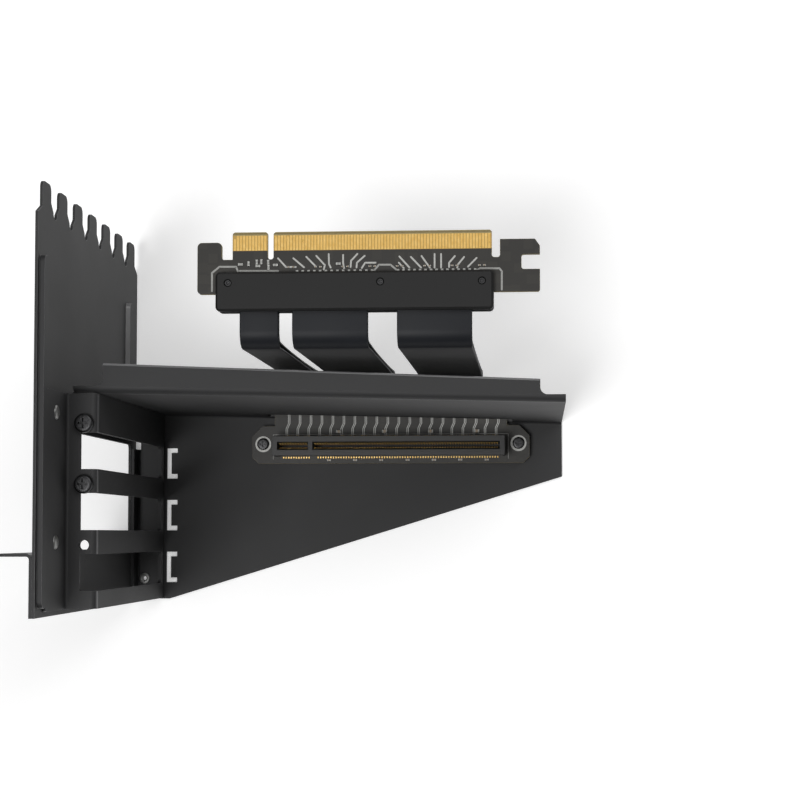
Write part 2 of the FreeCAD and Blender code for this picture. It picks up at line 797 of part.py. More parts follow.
def edge_board():
    """Board with the card edge: two tongues with the key gap, a plain ear and a hooked ear."""
    hook_start = edge_end + hook_gap
    hook_end = hook_start + hook_reach
    notch_x = hook_end - hook_notch_depth
    notch_high_y = hook_notch_low_y + hook_notch_width
    nick = tongue_nick
    outline = [
        (left_ear_start, edge_board_low_y),
        (hook_end, edge_board_low_y),
        (hook_end, hook_notch_low_y),
        (notch_x, hook_notch_low_y),
        (notch_x, notch_high_y),
        (hook_end, notch_high_y),
        (hook_end, hook_top_y - hook_slant),
        (hook_end - hook_slant_width, hook_top_y),
        (hook_start, hook_top_y),
        (hook_start, neck_y),
        (edge_end, neck_y),
        (edge_end, tongue_tip_y - nick),
        (edge_end - nick, tongue_tip_y),
        (long_start + nick, tongue_tip_y),
        (long_start, tongue_tip_y - nick),
        (long_start, neck_y),
        (key_x, neck_y),
        (key_x, tongue_tip_y - nick),
        (key_x - nick, tongue_tip_y),
        (edge_start + nick, tongue_tip_y),
        (edge_start, tongue_tip_y - nick),
        (edge_start, neck_y),
        (left_ear_end, neck_y),
        (left_ear_end, left_ear_top_y),
        (left_ear_start, left_ear_top_y),
    ]
    board = prism(outline, xy, edge_board_low, edge_board_top)
    ear = [(left_ear_start, edge_board_low_y), (left_ear_start, left_ear_top_y)]
    ear.append((left_ear_end, left_ear_top_y))
    board = fillet_where(board, ear_corner, stands_at(ear))
    small = [(hook_end, edge_board_low_y), (notch_x, hook_notch_low_y), (notch_x, notch_high_y)]
    board = fillet_where(board, notch_corner, stands_at(small))
    roots = [(x, neck_y) for x in (left_ear_end, key_x, long_start, edge_end, hook_start)]
    board = fillet_where(board, root_corner, stands_at(roots))
    for face, hand in ((edge_board_top, -1), (edge_board_low, 1)):
        bevel = [
            (tongue_tip_y + 0.1, face + hand * tongue_bevel),
            (tongue_tip_y + 0.1, face - hand * 0.1),
            (tongue_tip_y - tongue_bevel_length, face - hand * 0.1),
            (tongue_tip_y - tongue_bevel_length, face),
            (tongue_tip_y, face + hand * tongue_bevel),
        ]
        board = board.cut(prism(bevel, yz, edge_start - 1, edge_end + 1))
    return one(board)


def stands_at(places):
    """Rule that picks the upright edges at the given corners of an outline."""
    def chosen(edge):
        at = edge.Vertexes[0].Point
        return runs_along(edge, "z") and any(math.hypot(at.x - x, at.y - y) < 0.01 for x, y in places)
    return chosen


def edge_contacts(top):
    """Gold-plated contacts on one face of the card edge. One is shorter, as on every card."""
    low = edge_board_top if top else edge_board_low - contact_thickness
    high_y = tongue_tip_y - tongue_bevel_length - contact_tip_gap
    low_y = high_y - contact_length
    xs = contact_xs()
    short_one = 0 if top else len(xs) - 2
    pieces = []
    for i, x in enumerate(xs):
        end_y = high_y - (short_contact_step if i == short_one else 0)
        span = (x - contact_width / 2, x + contact_width / 2)
        pieces.append(box(span, (low_y, end_y), (low, low + contact_thickness)))
    return Part.makeCompound(pieces)


def edge_capacitors():
    """Small coupling capacitors on the edge board, behind the contacts, in pairs."""
    length, width, height = small_chip
    pitch = long_tongue / chip_pairs
    span_y = (chip_row_y, chip_row_y + width)
    pieces = []
    for i in range(chip_pairs):
        for step in (0, chip_pair_step):
            x = long_start + pitch * (i + 0.5) + step
            pieces.append(box((x, x + length), span_y, (edge_board_top, edge_board_top + height)))
    return Part.makeCompound(pieces)


makers = {
    "rear_plate": rear_plate,
    "case_flange": case_flange,
    "io_bracket": io_bracket,
    "tray": tray,
    "frame_rivets": frame_rivets,
    "gpu_screws": gpu_screws,
    "socket_board": socket_board,
    "socket_housing": socket_housing,
    "board_spacers": board_spacers,
    "board_screws": board_screws,
    "board_capacitors": board_capacitors,
    "ribbon_clamp_upper": lambda: ribbon_clamp(True),
    "ribbon_clamp_lower": lambda: ribbon_clamp(False),
    "connector_cover_upper": lambda: connector_cover(True),
    "connector_cover_lower": lambda: connector_cover(False),
    "edge_board": edge_board,
    "edge_contacts_upper": lambda: edge_contacts(True),
    "edge_contacts_lower": lambda: edge_contacts(False),
    "edge_capacitors": edge_capacitors,
}
for ribbon_name in ribbon_widths:
    makers[f"ribbon_{ribbon_name}_front"] = lambda name=ribbon_name: ribbon(name, False)
    makers[f"ribbon_{ribbon_name}_back"] = lambda name=ribbon_name: ribbon(name, True)

os.makedirs("parts", exist_ok=True)
for node, make in makers.items():
    make().exportStep(f"parts/{node}.step")
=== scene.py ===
"""Looks of the vertical graphics card mount: each piece's finish and fine detail in turn.

Sizes are in metres. Those that a line divides by 1000, and all profiles, are in millimetres.
"""

import math

import bmesh
import bpy
from mathutils import Matrix, Vector


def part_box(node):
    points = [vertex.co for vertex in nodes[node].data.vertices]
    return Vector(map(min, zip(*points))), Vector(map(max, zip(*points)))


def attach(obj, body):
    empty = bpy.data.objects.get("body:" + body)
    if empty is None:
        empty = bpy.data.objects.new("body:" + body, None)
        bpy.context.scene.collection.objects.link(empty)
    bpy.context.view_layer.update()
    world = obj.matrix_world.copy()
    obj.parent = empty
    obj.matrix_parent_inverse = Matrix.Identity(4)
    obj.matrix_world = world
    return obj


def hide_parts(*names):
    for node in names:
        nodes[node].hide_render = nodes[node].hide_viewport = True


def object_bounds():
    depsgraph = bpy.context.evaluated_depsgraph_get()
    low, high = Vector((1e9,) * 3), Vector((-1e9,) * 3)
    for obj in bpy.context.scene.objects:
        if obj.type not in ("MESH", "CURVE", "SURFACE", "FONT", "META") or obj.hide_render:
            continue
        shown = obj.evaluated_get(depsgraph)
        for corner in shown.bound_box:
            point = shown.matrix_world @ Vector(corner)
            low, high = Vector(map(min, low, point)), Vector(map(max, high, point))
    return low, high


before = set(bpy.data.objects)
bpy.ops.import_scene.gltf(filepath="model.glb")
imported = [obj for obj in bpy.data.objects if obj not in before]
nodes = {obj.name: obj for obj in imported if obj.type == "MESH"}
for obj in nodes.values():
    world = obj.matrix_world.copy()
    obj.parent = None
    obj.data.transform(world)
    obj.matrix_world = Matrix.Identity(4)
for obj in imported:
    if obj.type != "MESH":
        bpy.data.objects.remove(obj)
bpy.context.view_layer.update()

# The floor under the mount is pale matt card, which fades to white under soft studio lamps.
# The photograph looks straight down from 0.7 m, so the plate and the tray's wall fan out.
FLOOR_GLOW = 0.29
FLOOR_HALF = 12.0
FLOOR_MIDDLE = (0.1, 0.05)
FLOOR_GAP = 0.0002
AIR_GLOW = 0.17
SENSOR_WIDTH = 36.0
FOCAL_LENGTH_IN_PIXELS = 1801.2
PICTURE_WIDTH_IN_PIXELS = 800

scene = bpy.context.scene
scene.view_settings.view_transform = "Standard"


def colour(code):
    """An sRGB hex colour as the linear values that Blender's sockets take."""
    parts = [int(code[i : i + 2], 16) / 255 for i in (1, 3, 5)]
    return [p / 12.92 if p <= 0.04045 else ((p + 0.055) / 1.055) ** 2.4 for p in parts] + [1.0]


def add_node(tree, kind, inputs=None, into=None, **settings):
    """Adds a node with values, other nodes' outputs and settings, and links it into a socket."""
    node = tree.nodes.new(kind)
    for name, value in settings.items():
        setattr(node, name, value)
    for name, value in (inputs or {}).items():
        if isinstance(value, bpy.types.NodeSocket):
            tree.links.new(value, node.inputs[name])
        else:
            node.inputs[name].default_value = value
    if into is not None:
        tree.links.new(node.outputs[0], into)
    return node


card = bpy.data.materials.new("pale_matt_card")
card.use_nodes = True
tree = card.node_tree
fibre = tree.nodes["Principled BSDF"]
fibre.inputs["Base Color"].default_value = colour("#f4f4f4")
fibre.inputs["Roughness"].default_value = 0.9
surface = tree.nodes["Material Output"].inputs["Surface"]
rays = add_node(tree, "ShaderNodeLightPath").outputs
seen = rays["Is Camera Ray"]
for other in ("Is Glossy Ray", "Is Transmission Ray"):
    seen = {0: seen, 1: rays[other]}
    seen = add_node(tree, "ShaderNodeMath", seen, operation="MAXIMUM").outputs[0]
share = add_node(tree, "ShaderNodeMath", {0: seen, 1: FLOOR_GLOW}, operation="MULTIPLY")
glow = {"Color": colour("#ffffff"), "Strength": share.outputs[0]}
glow = add_node(tree, "ShaderNodeEmission", glow)
add_node(tree, "ShaderNodeAddShader", {0: fibre.outputs[0], 1: glow.outputs[0]}, into=surface)

floor_mesh = bmesh.new()
bmesh.ops.create_grid(floor_mesh, x_segments=1, y_segments=1, size=FLOOR_HALF)
floor_place = (*FLOOR_MIDDLE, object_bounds()[0][2] - FLOOR_GAP)
bmesh.ops.translate(floor_mesh, verts=floor_mesh.verts, vec=floor_place)
floor = bpy.data.objects.new("floor", bpy.data.meshes.new("floor"))
floor_mesh.to_mesh(floor.data)
floor_mesh.free()
floor.data.materials.append(card)
scene.collection.objects.link(floor)

world = bpy.data.worlds.new("studio_air")
world.use_nodes = True
world.node_tree.nodes["Background"].inputs["Color"].default_value = colour("#ffffff")
world.node_tree.nodes["Background"].inputs["Strength"].default_value = AIR_GLOW
scene.world = world


def soft_box(name, place, target, size, power):
    """A square soft lamp that faces its target."""
    lamp = bpy.data.lights.new(name, "AREA")
    lamp.shape = "SQUARE"
    lamp.size = size
    lamp.energy = power
    holder = bpy.data.objects.new(name, lamp)
    holder.location = place
    holder.rotation_euler = (Vector(target) - Vector(place)).to_track_quat("-Z", "Y").to_euler()
    scene.collection.objects.link(holder)


soft_box("front_left_box", place=(-0.2, -0.25, 1.2), target=(0.08, 0.03, 0.0), size=0.5, power=9.4)
soft_box("back_right_box", place=(0.6, 0.72, 1.05), target=(0.08, 0.05, 0.0), size=0.9, power=8.4)

lens = bpy.data.cameras.new("photo_camera")
lens.sensor_width = SENSOR_WIDTH
lens.lens = FOCAL_LENGTH_IN_PIXELS * SENSOR_WIDTH / PICTURE_WIDTH_IN_PIXELS
lens.shift_x = -0.04
lens.shift_y = 0.05
lens.clip_start = 0.01
camera = bpy.data.objects.new("photo_camera", lens)
camera.location = (0.164638, 0.005470, 0.631540)
camera.rotation_euler = (0.0529, 0.0587, -0.0017)
scene.collection.objects.link(camera)
scene.camera = camera


# Rear plate, case flange, bracket and tray are mild steel sheet: punched, folded, welded and powder
# coated. The coat rounds every edge and fills the folds, so light runs along them as a thin line.
COAT_THICKNESS = 0.0004
# Material slots 1 and 2 hold painted highlights: pale lines on folds, rounded edges, the far rib's
# wall and the lip's rolled edge.
FOLD_HIGHLIGHT_SLOT = 1
PALEST_HIGHLIGHT_SLOT = 2


def new_finish(name, roughness, metallic=0.0):
    """A material, its node tree, its shader and the Object coordinates that its pattern reads."""
    finish = bpy.data.materials.new(name)
    finish.use_nodes = True
    tree = finish.node_tree
    shader = tree.nodes["Principled BSDF"]
    shader.inputs["Roughness"].default_value = roughness
    shader.inputs["Metallic"].default_value = metallic
    return finish, tree, shader, add_node(tree, "ShaderNodeTexCoord").outputs["Object"]


# Polyester powder coat, black, baked: its orange peel is 0.4 mm across and breaks the gloss up.
# Slow clouds in the film's thickness shift its depth and roughness by a few percent.
coat, tree, shader, place = new_finish("black_polyester_powder_coat", 0.5)
peel = add_node(tree, "ShaderNodeTexNoise", {"Vector": place, "Scale": 2400.0, "Detail": 2.0})
cloud = add_node(tree, "ShaderNodeTexNoise", {"Vector": place, "Scale": 38.0, "Detail": 3.0})
spread = {"Value": cloud.outputs[0], "From Min": 0.35, "From Max": 0.65}
spread = add_node(tree, "ShaderNodeMapRange", spread)
tone = {"Fac": spread.outputs[0], "Color1": colour("#1b1b1c"), "Color2": colour("#212122")}
add_node(tree, "ShaderNodeMixRGB", tone, into=shader.inputs["Base Color"])
dull = {"Value": cloud.outputs[0], "To Min": 0.58, "To Max": 0.72}
add_node(tree, "ShaderNodeMapRange", dull, into=shader.inputs["Roughness"])
relief = {"Height": peel.outputs[0], "Strength": 0.3, "Distance": 0.00006}
add_node(tree, "ShaderNodeBump", relief, into=shader.inputs["Normal"])

# Folds and rounded edges get a painted highlight: a paler, smoother coat, mottled at random, that
# stands in for the light running along them. The palest painted highlight is on the far rib's steep
# wall and on the lip's rolled edge.
PAINTED_HIGHLIGHT_TONES = {"fold_painted_highlight": ("#3a3a3b", "#4b4b4c"), "rib_and_lip_painted_highlight": ("#5b5b5c", "#6d6d6e")}
painted_highlight_coats = []
for name, (dark, light) in PAINTED_HIGHLIGHT_TONES.items():
    painted_highlight_coat, tree, shader, place = new_finish("powder_coat_" + name, 0.3)
    # Random mottling of the painted highlight's tone and roughness.
    highlight_mottle = add_node(tree, "ShaderNodeTexNoise", {"Vector": place, "Scale": 120.0, "Detail": 3.0})
    tone = {"Fac": highlight_mottle.outputs[0], "Color1": colour(dark), "Color2": colour(light)}
    add_node(tree, "ShaderNodeMixRGB", tone, into=shader.inputs["Base Color"])
    dull = {"Value": highlight_mottle.outputs[0], "To Min": 0.26, "To Max": 0.4}
    add_node(tree, "ShaderNodeMapRange", dull, into=shader.inputs["Roughness"])
    painted_highlight_coats.append(painted_highlight_coat)

MERGE_DISTANCE = 1e-6
SAME_PLACE = 1e-5
COPLANAR_ANGLE = 0.01
SMOOTH_ANGLE = math.radians(32)
SHARP_ANGLE = math.radians(35)


def merged_copy(name):
    """A bmesh of a CAD node with its triangles joined into whole faces."""
    body = bmesh.new()
    body.from_mesh(nodes[name].data)
    bmesh.ops.remove_doubles(body, verts=body.verts, dist=MERGE_DISTANCE)
    bmesh.ops.dissolve_limit(body, angle_limit=COPLANAR_ANGLE, verts=body.verts, edges=body.edges)
    return body


def make_piece(name, body, finishes, instead_of=None):
    """Turns a bmesh into a piece of the mount that has its finish and takes a CAD node's place."""
    mesh = bpy.data.meshes.new(name)
    body.to_mesh(mesh)
    body.free()
    for finish in finishes:
        mesh.materials.append(finish)
    for face in mesh.polygons:
        face.use_smooth = True
    mesh.set_sharp_from_angle(angle=SMOOTH_ANGLE)
    piece = bpy.data.objects.new(name, mesh)
    scene.collection.objects.link(piece)
    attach(piece, "root")
    if instead_of:
        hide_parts(instead_of)
    return piece


def soften_edges(piece, width, segments=2):
    """Rounds a piece's sharp edges, keeps its flat faces flat and returns the rounding."""
    for edge in piece.data.edges:
        edge.use_edge_sharp = False
    rounding = piece.modifiers.new("rounding", "BEVEL")
    rounding.width = width
    rounding.segments = segments
    rounding.limit_method = "ANGLE"
    rounding.angle_limit = SHARP_ANGLE
    flatten = piece.modifiers.new("flat_faces_stay_flat", "WEIGHTED_NORMAL")
    flatten.weight = 100
    return rounding


FOLD_FACE_WIDTH = 0.002
FOLD_TURN_LOW = 0.03
FOLD_TURN_HIGH = 0.6
UPRIGHT = 0.5


def find_folds(body):
    """Gives the upright side of a sheet's folds the paler coat of a painted highlight."""
    for face in body.faces:
        turns = [edge.calc_face_angle_signed(0.0) for edge in face.edges]
        width = face.calc_area() / max(edge.calc_length() for edge in face.edges)
        upright = width < FOLD_FACE_WIDTH and abs(face.normal.z) < UPRIGHT
        if upright and sum(FOLD_TURN_LOW < angle < FOLD_TURN_HIGH for angle in turns) >= 2:
            face.material_index = FOLD_HIGHLIGHT_SLOT


SHEET_FACE_X = 0.00635
RIB_CREST_X = 0.00815
FAR_RIB_Z = -0.0536
RIB_HALF_WIDTH = 0.00251
RIB_LEAN = 0.0007
TURNED_UP = 0.2


def slope_rib(body):
    """Leans the far rib's upper wall back, as pressed walls do, and gives it the palest painted
    highlight.
    """
    for face in body.faces:
        middle = face.calc_center_median()
        in_upper_half = 0 < middle.z - FAR_RIB_Z < RIB_HALF_WIDTH
        if in_upper_half and middle.x > SHEET_FACE_X and face.normal.z > TURNED_UP:
            face.material_index = PALEST_HIGHLIGHT_SLOT
    for vertex in body.verts:
        rise = vertex.co.z - FAR_RIB_Z
        if abs(vertex.co.x - RIB_CREST_X) < SAME_PLACE and 0 < rise < RIB_HALF_WIDTH:
            vertex.co.z -= RIB_LEAN * rise / RIB_HALF_WIDTH


LIP_ROLL = 0.0007
LIP_LEAST_LENGTH = 0.05
SQUARE_ON = 0.99


def roll_lip(body):
    """Rounds the lip's rear edge off and gives the rounding the palest painted highlight."""
    rear = []
    for edge in body.edges:
        ways = [face.normal for face in edge.link_faces]
        at_top = any(way.z > SQUARE_ON for way in ways)
        at_rear = any(way.y > SQUARE_ON for way in ways)
        if at_top and at_rear and edge.calc_length() > LIP_LEAST_LENGTH:
            rear.append(edge)
    lip_edge = max(rear, key=lambda edge: edge.verts[0].co.z)
    roll = {"offset": LIP_ROLL, "affect": "EDGES", "segments": 3, "profile": 0.5, "material": -1}
    for face in bmesh.ops.bevel(body, geom=[lip_edge], **roll)["faces"]:
        face.material_index = PALEST_HIGHLIGHT_SLOT


reshape = {"rear_plate": slope_rib, "tray": roll_lip}
for sheet in ("rear_plate", "case_flange", "io_bracket", "tray"):
    body = merged_copy(sheet)
    find_folds(body)
    finishes = [coat, painted_highlight_coats[0]]
    if sheet in reshape:
        reshape[sheet](body)
        finishes.append(painted_highlight_coats[1])
    piece = make_piece(sheet + "_coated", body, finishes, sheet)
    # Every rounded edge of the coat takes the fold's painted highlight.
    soften_edges(piece, COAT_THICKNESS).material = FOLD_HIGHLIGHT_SLOT


# Steel rivets pull the bracket's riser against the plate. They are set from inside and dressed
# flush outside. A smoky zinc plating leaves them satin, and the rim of each dome catches light.
DOME_PROFILE = [(0.0, 0.8), (1.0, 0.77), (1.7, 0.64), (2.15, 0.38), (2.36, 0.12), (2.4, 0.0)]
DOME_HEIGHT = 0.0008
SHANK_RADIUS = 1.5


def solid_boxes(name):
    """The lowest and highest corner of every separate solid in a CAD node."""
    body = merged_copy(name)
    left = set(body.verts)
    boxes = []
    while left:
        reached = [left.pop()]
        for vertex in reached:
            for edge in vertex.link_edges:
                other = edge.other_vert(vertex)
                if other in left:
                    left.remove(other)
                    reached.append(other)
        low = Vector([min(v.co[i] for v in reached) for i in range(3)])
        high = Vector([max(v.co[i] for v in reached) for i in range(3)])
        boxes.append((low, high))
    body.free()
    return sorted(boxes, key=lambda pair: tuple(pair[0]))


def turn(body, profile, place, axis, steps=32):
    """Spins a profile of (radius, height) pairs in millimetres round an axis through a place."""
    axis = Vector(axis)
    side = axis.orthogonal().normalized()
    ring = [body.verts.new(place + side * (r / 1000) + axis * (h / 1000)) for r, h in profile]
    edges = [body.edges.new(pair) for pair in zip(ring, ring[1:])]
    spun = {"cent": place, "axis": axis, "angle": 2 * math.pi, "steps": steps, "use_merge": True}
    bmesh.ops.spin(body, geom=ring + edges, **spun)
    bmesh.ops.remove_doubles(body, verts=body.verts, dist=MERGE_DISTANCE)


zinc, tree, shader, place = new_finish("smoky_zinc_plating", 0.42, 0.85)
blush = add_node(tree, "ShaderNodeTexNoise", {"Vector": place, "Scale": 900.0, "Detail": 4.0})
tone = {"Fac": blush.outputs[0], "Color1": colour("#6e6e6d"), "Color2": colour("#939391")}
add_node(tree, "ShaderNodeMixRGB", tone, into=shader.inputs["Base Color"])
dull = {"Value": blush.outputs[0], "To Min": 0.32, "To Max": 0.5}
add_node(tree, "ShaderNodeMapRange", dull, into=shader.inputs["Roughness"])
body = bmesh.new()
for low, high in solid_boxes("frame_rivets"):
    middle = (low + high) / 2
    seat = Vector((high.x - DOME_HEIGHT, middle.y, middle.z))
    tail = (low.x - seat.x) * 1000
    shank = [(SHANK_RADIUS, 0.0), (SHANK_RADIUS, tail), (0.0, tail)]
    turn(body, DOME_PROFILE + shank, seat, (1, 0, 0))
bmesh.ops.recalc_face_normals(body, faces=body.faces)
make_piece("frame_rivets_set", body, [zinc], "frame_rivets")

# A tubular rivet of the same zinc plated steel holds the bracket's foot down on the shelf.
# Its bore stays open, so the floor shows through.
FOOT_HOLE = Vector((0.0106, -0.011, 0.0))
FOOT_THICKNESS = 0.0012
EYELET_PROFILE = [(0.8, -2.36), (1.26, -2.36), (1.26, 0.0), (2.1, 0.0), (2.1, 0.2), (1.9, 0.5)]
EYELET_PROFILE += [(1.3, 0.66), (0.95, 0.5), (0.8, 0.1), (0.8, -2.36)]
body = bmesh.new()
foot_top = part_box("io_bracket")[0][2] + FOOT_THICKNESS
turn(body, EYELET_PROFILE, FOOT_HOLE + Vector((0, 0, foot_top)), (0, 0, 1), steps=24)
bmesh.ops.recalc_face_normals(body, faces=body.faces)
make_piece("foot_eyelet", body, [zinc])


# Two 6-32 pan head screws are driven into the ledge, and two smaller ones hold the socket board.
# Their steel is black oxidised: nearly black and a little oily, with turning marks on the head
# and a pressed cross.
SCREW_HEAD_HEIGHTS = {"gpu_screws": 0.0023, "board_screws": 0.0014}
THREAD_LENGTHS = {"gpu_screws": 0.0062, "board_screws": 0.0}
ROUNDED_SHARE = 0.42
THREAD_CORE = 0.00166
THREAD_CREST = 0.00174
THREAD_PITCH = 0.00079
THREAD_STEPS = 14

oxide, tree, shader, place = new_finish("black_oxide_steel", 0.38, 0.9)
smear = add_node(tree, "ShaderNodeTexNoise", {"Vector": place, "Scale": 1400.0, "Detail": 3.0})
tone = {"Fac": smear.outputs[0], "Color1": colour("#2e2e2f"), "Color2": colour("#434344")}
add_node(tree, "ShaderNodeMixRGB", tone, into=shader.inputs["Base Color"])
dull = {"Value": smear.outputs[0], "To Min": 0.3, "To Max": 0.48}
add_node(tree, "ShaderNodeMapRange", dull, into=shader.inputs["Roughness"])
relief = {"Height": smear.outputs[0], "Strength": 0.15, "Distance": 0.00004}
add_node(tree, "ShaderNodeBump", relief, into=shader.inputs["Normal"])


def round_heads(body, tops, radius, width):
    """Rounds the top rim of each screw head, and leaves the edges of its cross sharp."""
    rims = []
    for top in tops:
        for edge in body.edges:
            ends = [vertex.co - top for vertex in edge.verts]
            level = all(abs(end.z) < SAME_PLACE for end in ends)
            if level and all(abs(end.xy.length - radius) < 2 * SAME_PLACE for end in ends):
                rims.append(edge)
    bevel = {"offset": width, "affect": "EDGES", "segments": 5, "profile": 0.5, "material": -1}
    bmesh.ops.bevel(body, geom=rims, **bevel)


def cut_thread(body, start, length):
    """A closed thread ridge, run down from a screw head as a helix."""
    turns = int(length / THREAD_PITCH)
    points = [(THREAD_CORE, 0.0), (THREAD_CREST, -0.4), (THREAD_CREST, -0.6), (THREAD_CORE, -1.0)]
    rim = [body.verts.new(start + Vector((r, 0, h * THREAD_PITCH))) for r, h in points]
    ridge = body.faces.new(rim)
    geom = [ridge, *ridge.edges, *ridge.verts]
    run = {"angle": 2 * math.pi * turns, "steps": THREAD_STEPS * turns}
    drop = (0, 0, -THREAD_PITCH / THREAD_STEPS)
    bmesh.ops.spin(body, geom=geom, cent=start, axis=(0, 0, 1), dvec=drop, **run)


for name, height in SCREW_HEAD_HEIGHTS.items():
    body = merged_copy(name)
    boxes = solid_boxes(name)
    tops = [Vector(((low.x + high.x) / 2, (low.y + high.y) / 2, high.z)) for low, high in boxes]
    radius = (boxes[0][1].x - boxes[0][0].x) / 2
    round_heads(body, tops, radius, height * ROUNDED_SHARE)
    for top in tops if THREAD_LENGTHS[name] else []:
        cut_thread(body, top - Vector((0, 0, height)), THREAD_LENGTHS[name])
    bmesh.ops.recalc_face_normals(body, faces=body.faces)
    make_piece(name + "_turned", body, [oxide], name)


# Both circuit boards are routed from glass cloth laminate, with black solder mask on the copper.
# The mask is satin and slightly brown, and copper fills show through it as faint areas. The cut
# edges are tan, and the two tongues are bare of mask between their contacts.
BOARD_EDGE = 0.00006
FILL_CELLS_PER_METRE = 260.0
BARE_FROM_Y = 0.09895
TONGUES_MIDDLE_X = 0.10745
TONGUES_HALF_X = 0.0429

laminate, tree, shader, place = new_finish("bare_glass_laminate", 0.55)
cloth = {"Vector": place, "Scale": 900.0, "Distortion": 1.5, "Detail": 2.0}
cloth = add_node(tree, "ShaderNodeTexWave", cloth, bands_direction="Z")
tone = {"Fac": cloth.outputs[0], "Color1": colour("#6d5f3a"), "Color2": colour("#8f8257")}
add_node(tree, "ShaderNodeMixRGB", tone, into=shader.inputs["Base Color"])

mask, tree, shader, place = new_finish("black_solder_mask", 0.48)
shader.inputs["Specular IOR Level"].default_value = 0.4
pour = {"Vector": place, "Scale": FILL_CELLS_PER_METRE, "Randomness": 0.35}
pour = add_node(tree, "ShaderNodeTexVoronoi", pour, distance="CHEBYCHEV")
fill = {"Value": pour.outputs["Distance"], "From Min": 0.36, "From Max": 0.42}
fill = add_node(tree, "ShaderNodeMapRange", fill)
tone = {"Fac": fill.outputs[0], "Color1": colour("#25231e"), "Color2": colour("#1f1d19")}
toned = add_node(tree, "ShaderNodeMixRGB", tone)
along = add_node(tree, "ShaderNodeSeparateXYZ", {0: place})
past = {0: along.outputs["Y"], 1: BARE_FROM_Y}
past = add_node(tree, "ShaderNodeMath", past, operation="GREATER_THAN")
within = {0: along.outputs["X"], 1: TONGUES_MIDDLE_X, 2: TONGUES_HALF_X}
within = add_node(tree, "ShaderNodeMath", within, operation="COMPARE")
bare = {0: past.outputs[0], 1: within.outputs[0]}
bare = add_node(tree, "ShaderNodeMath", bare, operation="MULTIPLY")
tone = {"Fac": bare.outputs[0], "Color1": toned.outputs[0], "Color2": colour("#b08d46")}
add_node(tree, "ShaderNodeMixRGB", tone, into=shader.inputs["Base Color"])
grain = add_node(tree, "ShaderNodeTexNoise", {"Vector": place, "Scale": 3000.0})
relief = {"Height": grain.outputs[0], "Strength": 0.12, "Distance": 0.00003}
add_node(tree, "ShaderNodeBump", relief, into=shader.inputs["Normal"])

for name in ("socket_board", "edge_board"):
    body = merged_copy(name)
    for face in body.faces:
        face.material_index = 0 if abs(face.normal.z) > SQUARE_ON else 1
    piece = make_piece(name + "_routed", body, [mask, laminate], name)
    soften_edges(piece, BOARD_EDGE, segments=1)

# Tracks and pads are copper with a levelled tin face, and legend lines are screened on in pale ink.
# Only the widest are drawn, about 0.6 mm on the real board. The ink is matt and a little thin.
EDGE_TOP = 48.4
TRACK_WIDTH = 0.55
TRACK_HEIGHT = 0.04
LEGEND_WIDTH = 0.6
LEGEND_HEIGHT = 0.025
DOT_SHARE = 0.9
DOT_DROP_SHARE = 0.05
EDGE_TRACKS = [
    [(79.9, 96.41), (82.55, 93.51), (85.78, 93.48)],
    [(84.98, 96.36), (88.49, 93.35)],
    [(89.24, 96.81), (92.48, 93.47)],
    [(92.53, 97.1), (95.34, 94.0), (95.01, 92.56)],
    [(96.62, 97.62), (96.72, 94.32), (97.28, 93.19)],
    [(101.36, 97.3), (101.36, 94.73), (101.66, 92.98)],
    [(106.06, 97.58), (103.99, 95.36), (103.83, 93.29)],
    [(108.46, 96.93), (105.9, 94.68), (105.77, 93.1)],
    [(112.04, 94.62), (108.63, 94.65), (107.51, 92.92)],
    [(119.82, 96.61), (123.15, 92.89)],
    [(119.65, 94.54), (121.25, 92.78)],
    [(123.62, 96.4), (126.95, 92.85)],
    [(127.09, 96.66), (129.8, 92.82)],
    [(131.37, 97.27), (131.37, 92.8)],
    [(133.5, 97.25), (133.49, 92.78)],
    [(138.01, 96.54), (136.11, 94.36), (136.11, 92.95)],
    [(141.01, 96.21), (138.95, 93.68), (138.78, 92.73)],
    [(145.09, 95.84), (142.27, 93.02)],
]
EDGE_LEGEND = [
    [(58.1, 85.83), (58.07, 91.78), (60.54, 93.81), (66.05, 93.75), (66.62, 92.29)],
    [(67.28, 92.38), (79.91, 92.25)],
    [(111.42, 91.9), (113.16, 93.95), (116.96, 93.91), (119.19, 91.9)],
    [(145.24, 91.9), (146.19, 92.42), (152.51, 92.35), (153.28, 91.39), (153.26, 85.4)],
]
PAD_ROWS = ((86.2, 110.9), (119.4, 144.6))
PAD_PITCH = 1.85
PAD_HALF_WIDTH = 0.4
PAD_LOW_Y = 91.9
PAD_HIGH_Y = 92.45

tin, tree, shader, place = new_finish("levelled_tin", 0.45, 0.25)
bead = add_node(tree, "ShaderNodeTexNoise", {"Vector": place, "Scale": 1500.0})
tone = {"Fac": bead.outputs[0], "Color1": colour("#92928f"), "Color2": colour("#b6b6b2")}
add_node(tree, "ShaderNodeMixRGB", tone, into=shader.inputs["Base Color"])

ink, tree, shader, place = new_finish("pale_legend_ink", 0.7)
thin = add_node(tree, "ShaderNodeTexNoise", {"Vector": place, "Scale": 1800.0})
tone = {"Fac": thin.outputs[0], "Color1": colour("#7c7c79"), "Color2": colour("#a3a3a0")}
add_node(tree, "ShaderNodeMixRGB", tone, into=shader.inputs["Base Color"])


def block(body, low, high):
    """A box between two corners in metres. Returns its corners."""
    low, high = Vector(low), Vector(high)
    size = Matrix.Diagonal((*(high - low), 1.0))
    at = Matrix.Translation((low + high) / 2) @ size
    return bmesh.ops.create_cube(body, size=1.0, matrix=at)["verts"]


